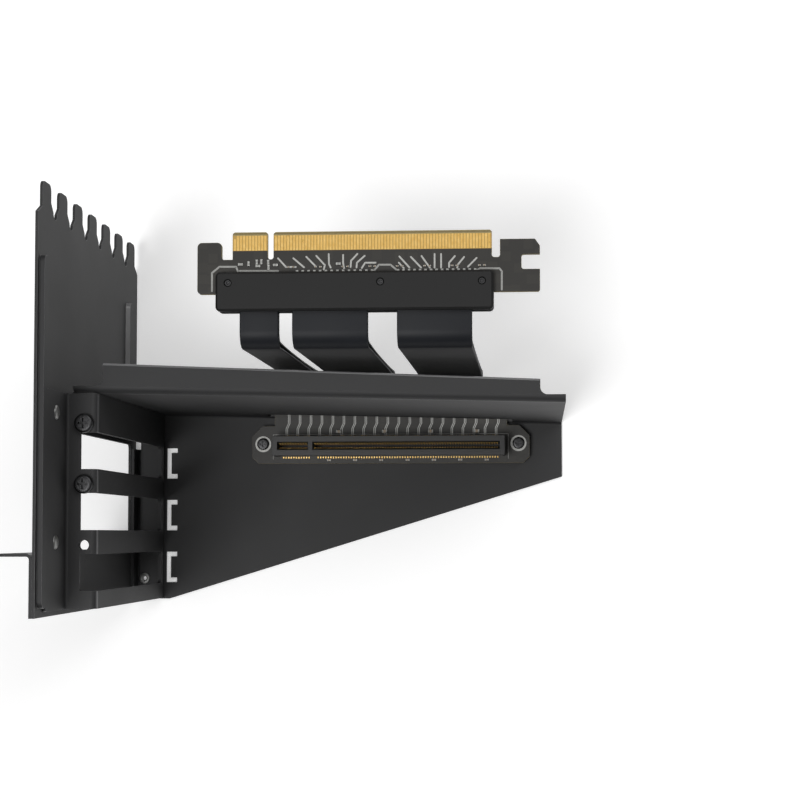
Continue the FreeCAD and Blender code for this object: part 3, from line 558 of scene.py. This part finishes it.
def draw_line(body, points, width, base, height=TRACK_HEIGHT):
    """A raised line on a board, in millimetres. Its round ends are a hair lower than the line."""
    points = [Vector((x, y, base + height / 2)) / 1000 for x, y in points]
    for start, end in zip(points, points[1:]):
        reach = end - start
        turned = Matrix.Rotation(math.atan2(reach.y, reach.x), 4, "Z")
        size = Matrix.Diagonal((reach.length, width / 1000, height / 1000, 1.0))
        at = Matrix.Translation((start + end) / 2) @ turned @ size
        bmesh.ops.create_cube(body, size=1.0, matrix=at)
    dot = {"radius1": width / 2000, "radius2": width / 2000, "depth": DOT_SHARE * height / 1000}
    for point in points:
        at = Matrix.Translation(point - Vector((0, 0, DOT_DROP_SHARE * height / 1000)))
        bmesh.ops.create_cone(body, cap_ends=True, segments=10, matrix=at, **dot)


body = bmesh.new()
for line in EDGE_TRACKS:
    draw_line(body, line, TRACK_WIDTH, EDGE_TOP)
for start, end in PAD_ROWS:
    count = round((end - start) / PAD_PITCH)
    for i in range(count + 1):
        x = start + (end - start) * i / count
        low = Vector((x - PAD_HALF_WIDTH, PAD_LOW_Y, EDGE_TOP)) / 1000
        high = Vector((x + PAD_HALF_WIDTH, PAD_HIGH_Y, EDGE_TOP + TRACK_HEIGHT)) / 1000
        block(body, low, high)
make_piece("edge_board_tracks", body, [tin])
body = bmesh.new()
for line in EDGE_LEGEND:
    draw_line(body, line, LEGEND_WIDTH, EDGE_TOP, LEGEND_HEIGHT)
make_piece("edge_board_legend", body, [ink])

# The socket board carries 20 pairs of tracks from the contacts back to the ribbons, 0.25 mm
# wide, a legend frame round the socket, and a ring of bare tin under each screw.
BOARD_TOP = -66.32
PAIR_COUNT = 20
PAIR_START_X = 66.6
PAIR_PITCH = 4.3
PAIR_GAP = 0.6
PAIR_JOG = 0.9
PAIR_YS = (44.6, 47.2, 49.2, 55.5)
PAIR_WIDTH = 0.25
PAIR_HEIGHT = 0.03
BOARD_SCREW_XS = (57.65, 157.25)
BOARD_SCREW_Y = 41.2
RING_PROFILE = [(1.45, 0.0), (1.45, 0.03), (3.1, 0.03), (3.1, 0.0), (1.45, 0.0)]
SOCKET_FRAME = [(61.6, 35.3), (61.6, 44.9), (153.3, 44.9), (153.3, 35.3)]
SOCKET_FRAME_WIDTH = 0.2
body = bmesh.new()
for i in range(PAIR_COUNT):
    for gap in (0.0, PAIR_GAP):
        left = PAIR_START_X + i * PAIR_PITCH + gap
        right = left + PAIR_JOG
        line = list(zip((left, left, right, right), PAIR_YS))
        draw_line(body, line, PAIR_WIDTH, BOARD_TOP, PAIR_HEIGHT)
for x in BOARD_SCREW_XS:
    spot = Vector((x / 1000, BOARD_SCREW_Y / 1000, BOARD_TOP / 1000))
    turn(body, RING_PROFILE, spot, (0, 0, 1), steps=36)
bmesh.ops.recalc_face_normals(body, faces=body.faces)
make_piece("socket_board_tracks", body, [tin])
body = bmesh.new()
draw_line(body, SOCKET_FRAME, SOCKET_FRAME_WIDTH, BOARD_TOP, LEGEND_HEIGHT)
make_piece("socket_board_legend", body, [ink])


# The socket is one moulding of glass-filled liquid crystal polymer, pressed over its contacts.
# It is near black, with a fine flow grain along its length and slightly rounded edges.
HOUSING_EDGE = 0.00012

lcp, tree, shader, place = new_finish("glass_filled_lcp_moulding", 0.5)
drawn_out = add_node(tree, "ShaderNodeMapping", {"Vector": place, "Scale": (0.25, 1.0, 1.0)})
flow = {"Vector": drawn_out.outputs[0], "Scale": 3200.0, "Detail": 3.0}
flow = add_node(tree, "ShaderNodeTexNoise", flow)
tone = {"Fac": flow.outputs[0], "Color1": colour("#111111"), "Color2": colour("#1a1a1a")}
add_node(tree, "ShaderNodeMixRGB", tone, into=shader.inputs["Base Color"])
relief = {"Height": flow.outputs[0], "Strength": 0.25, "Distance": 0.00004}
add_node(tree, "ShaderNodeBump", relief, into=shader.inputs["Normal"])
body = merged_copy("socket_housing")
piece = make_piece("socket_housing_moulded", body, [lcp], "socket_housing")
soften_edges(piece, HOUSING_EDGE)

# Its 164 spring contacts are stamped from bronze strip. Each bows out into the slot, and its foot
# is soldered to the board. Their gold plating is warm and bright, with a faint haze from rubbing.
CONTACT_XS = [65.675 + i for i in range(11)] + [79.225 + i for i in range(71)]
CONTACT_PATH = [(-62.7, 0.1), (-61.6, 0.32), (-60.2, 0.47)]
CONTACT_PATH += [(-58.8, 0.5), (-57.4, 0.34), (-56.1, 0.08)]
CONTACT_HALF_WIDTH = 0.2
CONTACT_THICKNESS = 0.12
FOOT_HEIGHT = 0.14
CONTACT_ROWS = ((39.05, 1, 35.6, 36.25), (40.95, -1, 43.75, 44.4))

gold, tree, shader, place = new_finish("hard_gold_plating", 0.3, 0.55)
rub = add_node(tree, "ShaderNodeTexNoise", {"Vector": place, "Scale": 700.0, "Detail": 3.0})
tone = {"Fac": rub.outputs[0], "Color1": colour("#e0b050"), "Color2": colour("#f2cf85")}
add_node(tree, "ShaderNodeMixRGB", tone, into=shader.inputs["Base Color"])
dull = {"Value": rub.outputs[0], "To Min": 0.24, "To Max": 0.36}
add_node(tree, "ShaderNodeMapRange", dull, into=shader.inputs["Roughness"])
body = bmesh.new()
for x in CONTACT_XS:
    for wall_y, hand, foot_low_y, foot_high_y in CONTACT_ROWS:
        front = [(wall_y + hand * bow, z) for z, bow in CONTACT_PATH]
        back = [(y - hand * CONTACT_THICKNESS, z) for y, z in reversed(front)]
        start_x = x - CONTACT_HALF_WIDTH
        rim = [body.verts.new(Vector((start_x, y, z)) / 1000) for y, z in front + back]
        grown = bmesh.ops.extrude_face_region(body, geom=[body.faces.new(rim)])["geom"]
        far = [part for part in grown if isinstance(part, bmesh.types.BMVert)]
        bmesh.ops.translate(body, verts=far, vec=(2 * CONTACT_HALF_WIDTH / 1000, 0, 0))
        low = Vector((start_x, foot_low_y, BOARD_TOP)) / 1000
        foot = Vector((2 * CONTACT_HALF_WIDTH, foot_high_y - foot_low_y, FOOT_HEIGHT)) / 1000
        block(body, low, low + foot)
bmesh.ops.recalc_face_normals(body, faces=body.faces)
make_piece("socket_contacts", body, [gold])

# Two hexagonal brass standoffs hold the socket board 2 mm off the shelf.
# They are turned from bar and left bare: fine rings run round them, and the brass is a bit dull.
STANDOFF_EDGE = 0.00012

brass, tree, shader, place = new_finish("turned_brass_bar", 0.34, 1.0)
rings = {"Vector": place, "Scale": 1600.0, "Distortion": 0.6}
rings = add_node(tree, "ShaderNodeTexWave", rings, bands_direction="Z")
tone = {"Fac": rings.outputs[0], "Color1": colour("#b18f4c"), "Color2": colour("#c9a862")}
add_node(tree, "ShaderNodeMixRGB", tone, into=shader.inputs["Base Color"])
relief = {"Height": rings.outputs[0], "Strength": 0.15, "Distance": 0.00003}
add_node(tree, "ShaderNodeBump", relief, into=shader.inputs["Normal"])
body = merged_copy("board_spacers")
piece = make_piece("board_spacers_turned", body, [brass], "board_spacers")
soften_edges(piece, STANDOFF_EDGE, segments=1)

# Chip capacitors are fired ceramic blocks, tan to grey. Their dipped tin ends stand a hair proud.
# The small parts beside the key gap are like them, in pale lacquer, and show as bright specks.
CHIP_EDGE = 0.00005
END_SHARE = 0.28
PROUD = 0.00003
KEY_PARTS = [(67.5, 94.5, 1), (70.2, 94.7, 0), (72.9, 95.2, 0), (74.4, 95.3, 0), (73.3, 93.9, 1)]
KEY_PARTS += [(76.7, 95.1, 0), (76.8, 93.4, 0), (79.1, 94.2, 1), (99.8, 94.4, 1)]
KEY_PART_HALVES = (Vector((0.4, 0.8, 0)), Vector((0.8, 0.42, 0)))
KEY_PART_HEIGHT = 0.4

ceramic, tree, shader, place = new_finish("fired_chip_ceramic", 0.35)
body_tone = add_node(tree, "ShaderNodeTexNoise", {"Vector": place, "Scale": 260.0})
tone = {"Fac": body_tone.outputs[0], "Color1": colour("#7a6a55"), "Color2": colour("#9a8972")}
add_node(tree, "ShaderNodeMixRGB", tone, into=shader.inputs["Base Color"])


def add_chip(body, low, high):
    """A chip: its ceramic block, and a tin cap over each end of its longer side."""
    size = high - low
    way = 0 if size.x > size.y else 1
    shrink = Vector([PROUD * (i != way) for i in range(3)])
    lift = Vector((0, 0, PROUD))
    block(body, low + shrink - lift, high - shrink)
    for side in (0, 1):
        start, end = low.copy(), high.copy()
        if side:
            start[way] = high[way] - size[way] * END_SHARE
        else:
            end[way] = low[way] + size[way] * END_SHARE
        cap = block(body, start, end)
        for face in {face for vertex in cap for face in vertex.link_faces}:
            face.material_index = 1


for name in ("board_capacitors", "edge_capacitors"):
    body = bmesh.new()
    for low, high in solid_boxes(name):
        add_chip(body, low, high)
    piece = make_piece(name + "_fired", body, [ceramic, tin], name)
    soften_edges(piece, CHIP_EDGE, segments=1)

body = bmesh.new()
for x, y, lies_across in KEY_PARTS:
    half = KEY_PART_HALVES[lies_across]
    middle = Vector((x, y, EDGE_TOP))
    top = middle + half + Vector((0, 0, KEY_PART_HEIGHT))
    add_chip(body, (middle - half) / 1000, top / 1000)
piece = make_piece("key_gap_parts", body, [ink, tin])
soften_edges(piece, CHIP_EDGE, segments=1)


# Six flat ribbons in two layers carry the lanes: fine pairs of wire, side by side in a satin
# polyester film. They are folded by hand, so their bends stay round and the layers lean together.
# The wires just show as lengthwise ribs, and the film's fine tooth lights up at a low angle.
RIBBON_HALF = 0.4
RIBBON_CORNER = 0.00034
TIGHT_BEND = 3.0
WIDE_BEND = 5.4
WALL_YS = {"front": 67.2, "back": 69.6}
WALL_REACH = 1.0
BENDS = {"front": (TIGHT_BEND, WIDE_BEND), "back": (WIDE_BEND, TIGHT_BEND)}
LEAN = {"front": 0.2, "back": -1.2}
LEAN_ONSET = 0.4
WIRE_PITCH = 0.00127
WAVE_RADIANS_PER_SCALE = 20

film, tree, shader, place = new_finish("satin_polyester_film", 0.5)
scale = 2 * math.pi / WIRE_PITCH / WAVE_RADIANS_PER_SCALE
wires = {"Vector": place, "Scale": scale, "Distortion": 0.2}
wires = add_node(tree, "ShaderNodeTexWave", wires, bands_direction="X")
haze = add_node(tree, "ShaderNodeTexNoise", {"Vector": place, "Scale": 60.0, "Detail": 3.0})
tone = {"Fac": haze.outputs[0], "Color1": colour("#111317"), "Color2": colour("#181a1f")}
add_node(tree, "ShaderNodeMixRGB", tone, into=shader.inputs["Base Color"])
dull = {"Value": haze.outputs[0], "To Min": 0.44, "To Max": 0.58}
add_node(tree, "ShaderNodeMapRange", dull, into=shader.inputs["Roughness"])
shader.inputs["Specular IOR Level"].default_value = 0.22
shader.inputs["Sheen Weight"].default_value = 0.075
shader.inputs["Sheen Roughness"].default_value = 0.35
relief = {"Height": wires.outputs[0], "Strength": 0.12, "Distance": 0.00004}
add_node(tree, "ShaderNodeBump", relief, into=shader.inputs["Normal"])


def draw_out(body, face, reach, steps):
    """Draws a ribbon's end face along a straight run in metres and returns the new end."""
    for _ in range(steps):
        grown = bmesh.ops.extrude_face_region(body, geom=[face])["geom"]
        face = next(part for part in grown if isinstance(part, bmesh.types.BMFace))
        bmesh.ops.translate(body, verts=face.verts, vec=reach / steps)
    return face


def bend(body, face, centre, angle, steps=10):
    """Turns a ribbon's end face round a bend across the ribbon and returns the new end."""
    step = Matrix.Rotation(angle / steps, 3, "X")
    for _ in range(steps):
        face = draw_out(body, face, Vector(), steps=1)
        bmesh.ops.rotate(body, verts=face.verts, cent=centre, matrix=step)
    return face


def fold_ribbon(name, layer):
    """A ribbon from its end in the clamp, up behind the tray's wall, to its end in the cover."""
    low, high = (corner * 1000 for corner in map(Vector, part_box(name)))
    wall_y = WALL_YS[layer]
    foot_bend, head_bend = BENDS[layer]
    foot_z, head_z = low.z + RIBBON_HALF, high.z - RIBBON_HALF
    body = bmesh.new()
    upright = Matrix.Rotation(math.pi / 2, 4, "X")
    size = Matrix.Diagonal(((high.x - low.x) / 1000, 2 * RIBBON_HALF / 1000, 1.0, 1.0))
    centre = Vector(((low.x + high.x) / 2, low.y, foot_z)) / 1000
    start = Matrix.Translation(centre) @ (upright @ size)
    bmesh.ops.create_grid(body, x_segments=1, y_segments=1, size=0.5, matrix=start)
    corner = {"affect": "VERTICES", "segments": 4, "profile": 0.5, "material": -1}
    bmesh.ops.bevel(body, geom=list(body.verts), offset=RIBBON_CORNER, **corner)
    end = max(body.faces, key=lambda part: part.calc_area())
    end = draw_out(body, end, Vector((0, wall_y - foot_bend - low.y, 0)) / 1000, steps=2)
    centre = Vector((0, wall_y - foot_bend, foot_z + foot_bend)) / 1000
    end = bend(body, end, centre, math.pi / 2)
    rise = head_z - head_bend - foot_z - foot_bend
    end = draw_out(body, end, Vector((0, 0, rise)) / 1000, steps=16)
    centre = Vector((0, wall_y + head_bend, head_z - head_bend)) / 1000
    end = bend(body, end, centre, -math.pi / 2)
    draw_out(body, end, Vector((0, high.y - wall_y - head_bend, 0)) / 1000, steps=2)
    inner = [face for face in body.faces if all(len(edge.link_faces) > 2 for edge in face.edges)]
    bmesh.ops.delete(body, geom=inner, context="FACES_ONLY")
    for vertex in body.verts:
        share = (vertex.co.z * 1000 - foot_z) / (head_z - foot_z)
        if 0 < share < 1 and abs(vertex.co.y * 1000 - wall_y) < WALL_REACH:
            vertex.co.y += LEAN[layer] / 1000 * math.sin(math.pi * share) ** LEAN_ONSET
    bmesh.ops.recalc_face_normals(body, faces=body.faces)
    return body


for width in ("narrow", "middle", "wide"):
    for layer in ("front", "back"):
        name = f"ribbon_{width}_{layer}"
        make_piece(name + "_folded", fold_ribbon(name, layer), [film], name)


# The ribbon ends are closed in moulded halves: a clamp on the socket board, a cover on the edge
# board. They are black ABS with a small radius all round. Their spark texture is fine and dull, and
# scatters the light evenly. The cover's face stays plain.
MOULDED_RADIUS = 0.0002
MOULDED_HALVES = ("ribbon_clamp_lower", "ribbon_clamp_upper")
MOULDED_HALVES += ("connector_cover_lower", "connector_cover_upper")

abs_plastic, tree, shader, place = new_finish("spark_textured_abs", 0.55)
texture = add_node(tree, "ShaderNodeTexNoise", {"Vector": place, "Scale": 2600.0, "Detail": 4.0})
patch = add_node(tree, "ShaderNodeTexNoise", {"Vector": place, "Scale": 45.0, "Detail": 2.0})
tone = {"Fac": patch.outputs[0], "Color1": colour("#181818"), "Color2": colour("#1c1c1c")}
add_node(tree, "ShaderNodeMixRGB", tone, into=shader.inputs["Base Color"])
dull = {"Value": texture.outputs[0], "To Min": 0.48, "To Max": 0.64}
add_node(tree, "ShaderNodeMapRange", dull, into=shader.inputs["Roughness"])
shader.inputs["Specular IOR Level"].default_value = 0.24
relief = {"Height": texture.outputs[0], "Strength": 0.35, "Distance": 0.00004}
add_node(tree, "ShaderNodeBump", relief, into=shader.inputs["Normal"])
for name in MOULDED_HALVES:
    body = merged_copy(name)
    piece = make_piece(name + "_moulded", body, [abs_plastic], name)
    soften_edges(piece, MOULDED_RADIUS)

# Three small black socket screws pull the cover halves together. Their heads sit in the recesses,
# below the face. The socket's six flats are too small to show, so it is drawn round.
RECESS_FLOOR = 50.6
COVER_SCREW_XS = (63.8, 113.8, 146.9)
COVER_SCREW_Y = 88.0
COVER_SCREW_PROFILE = [(0.0, 0.1), (0.46, 0.14), (0.5, 0.5), (0.58, 0.56), (0.95, 0.56)]
COVER_SCREW_PROFILE += [(1.12, 0.44), (1.16, 0.0), (0.0, 0.0)]
body = bmesh.new()
for x in COVER_SCREW_XS:
    spot = Vector((x, COVER_SCREW_Y, RECESS_FLOOR)) / 1000
    turn(body, COVER_SCREW_PROFILE, spot, (0, 0, 1), steps=20)
bmesh.ops.recalc_face_normals(body, faces=body.faces)
make_piece("cover_screws", body, [oxide])

# The edge board's contacts are gold plated copper on both faces of its two tongues.
# The plating is the socket contacts' own, and hides the board's edge bevel.
for name in ("edge_contacts_upper", "edge_contacts_lower"):
    make_piece(name + "_plated", merged_copy(name), [gold], name)
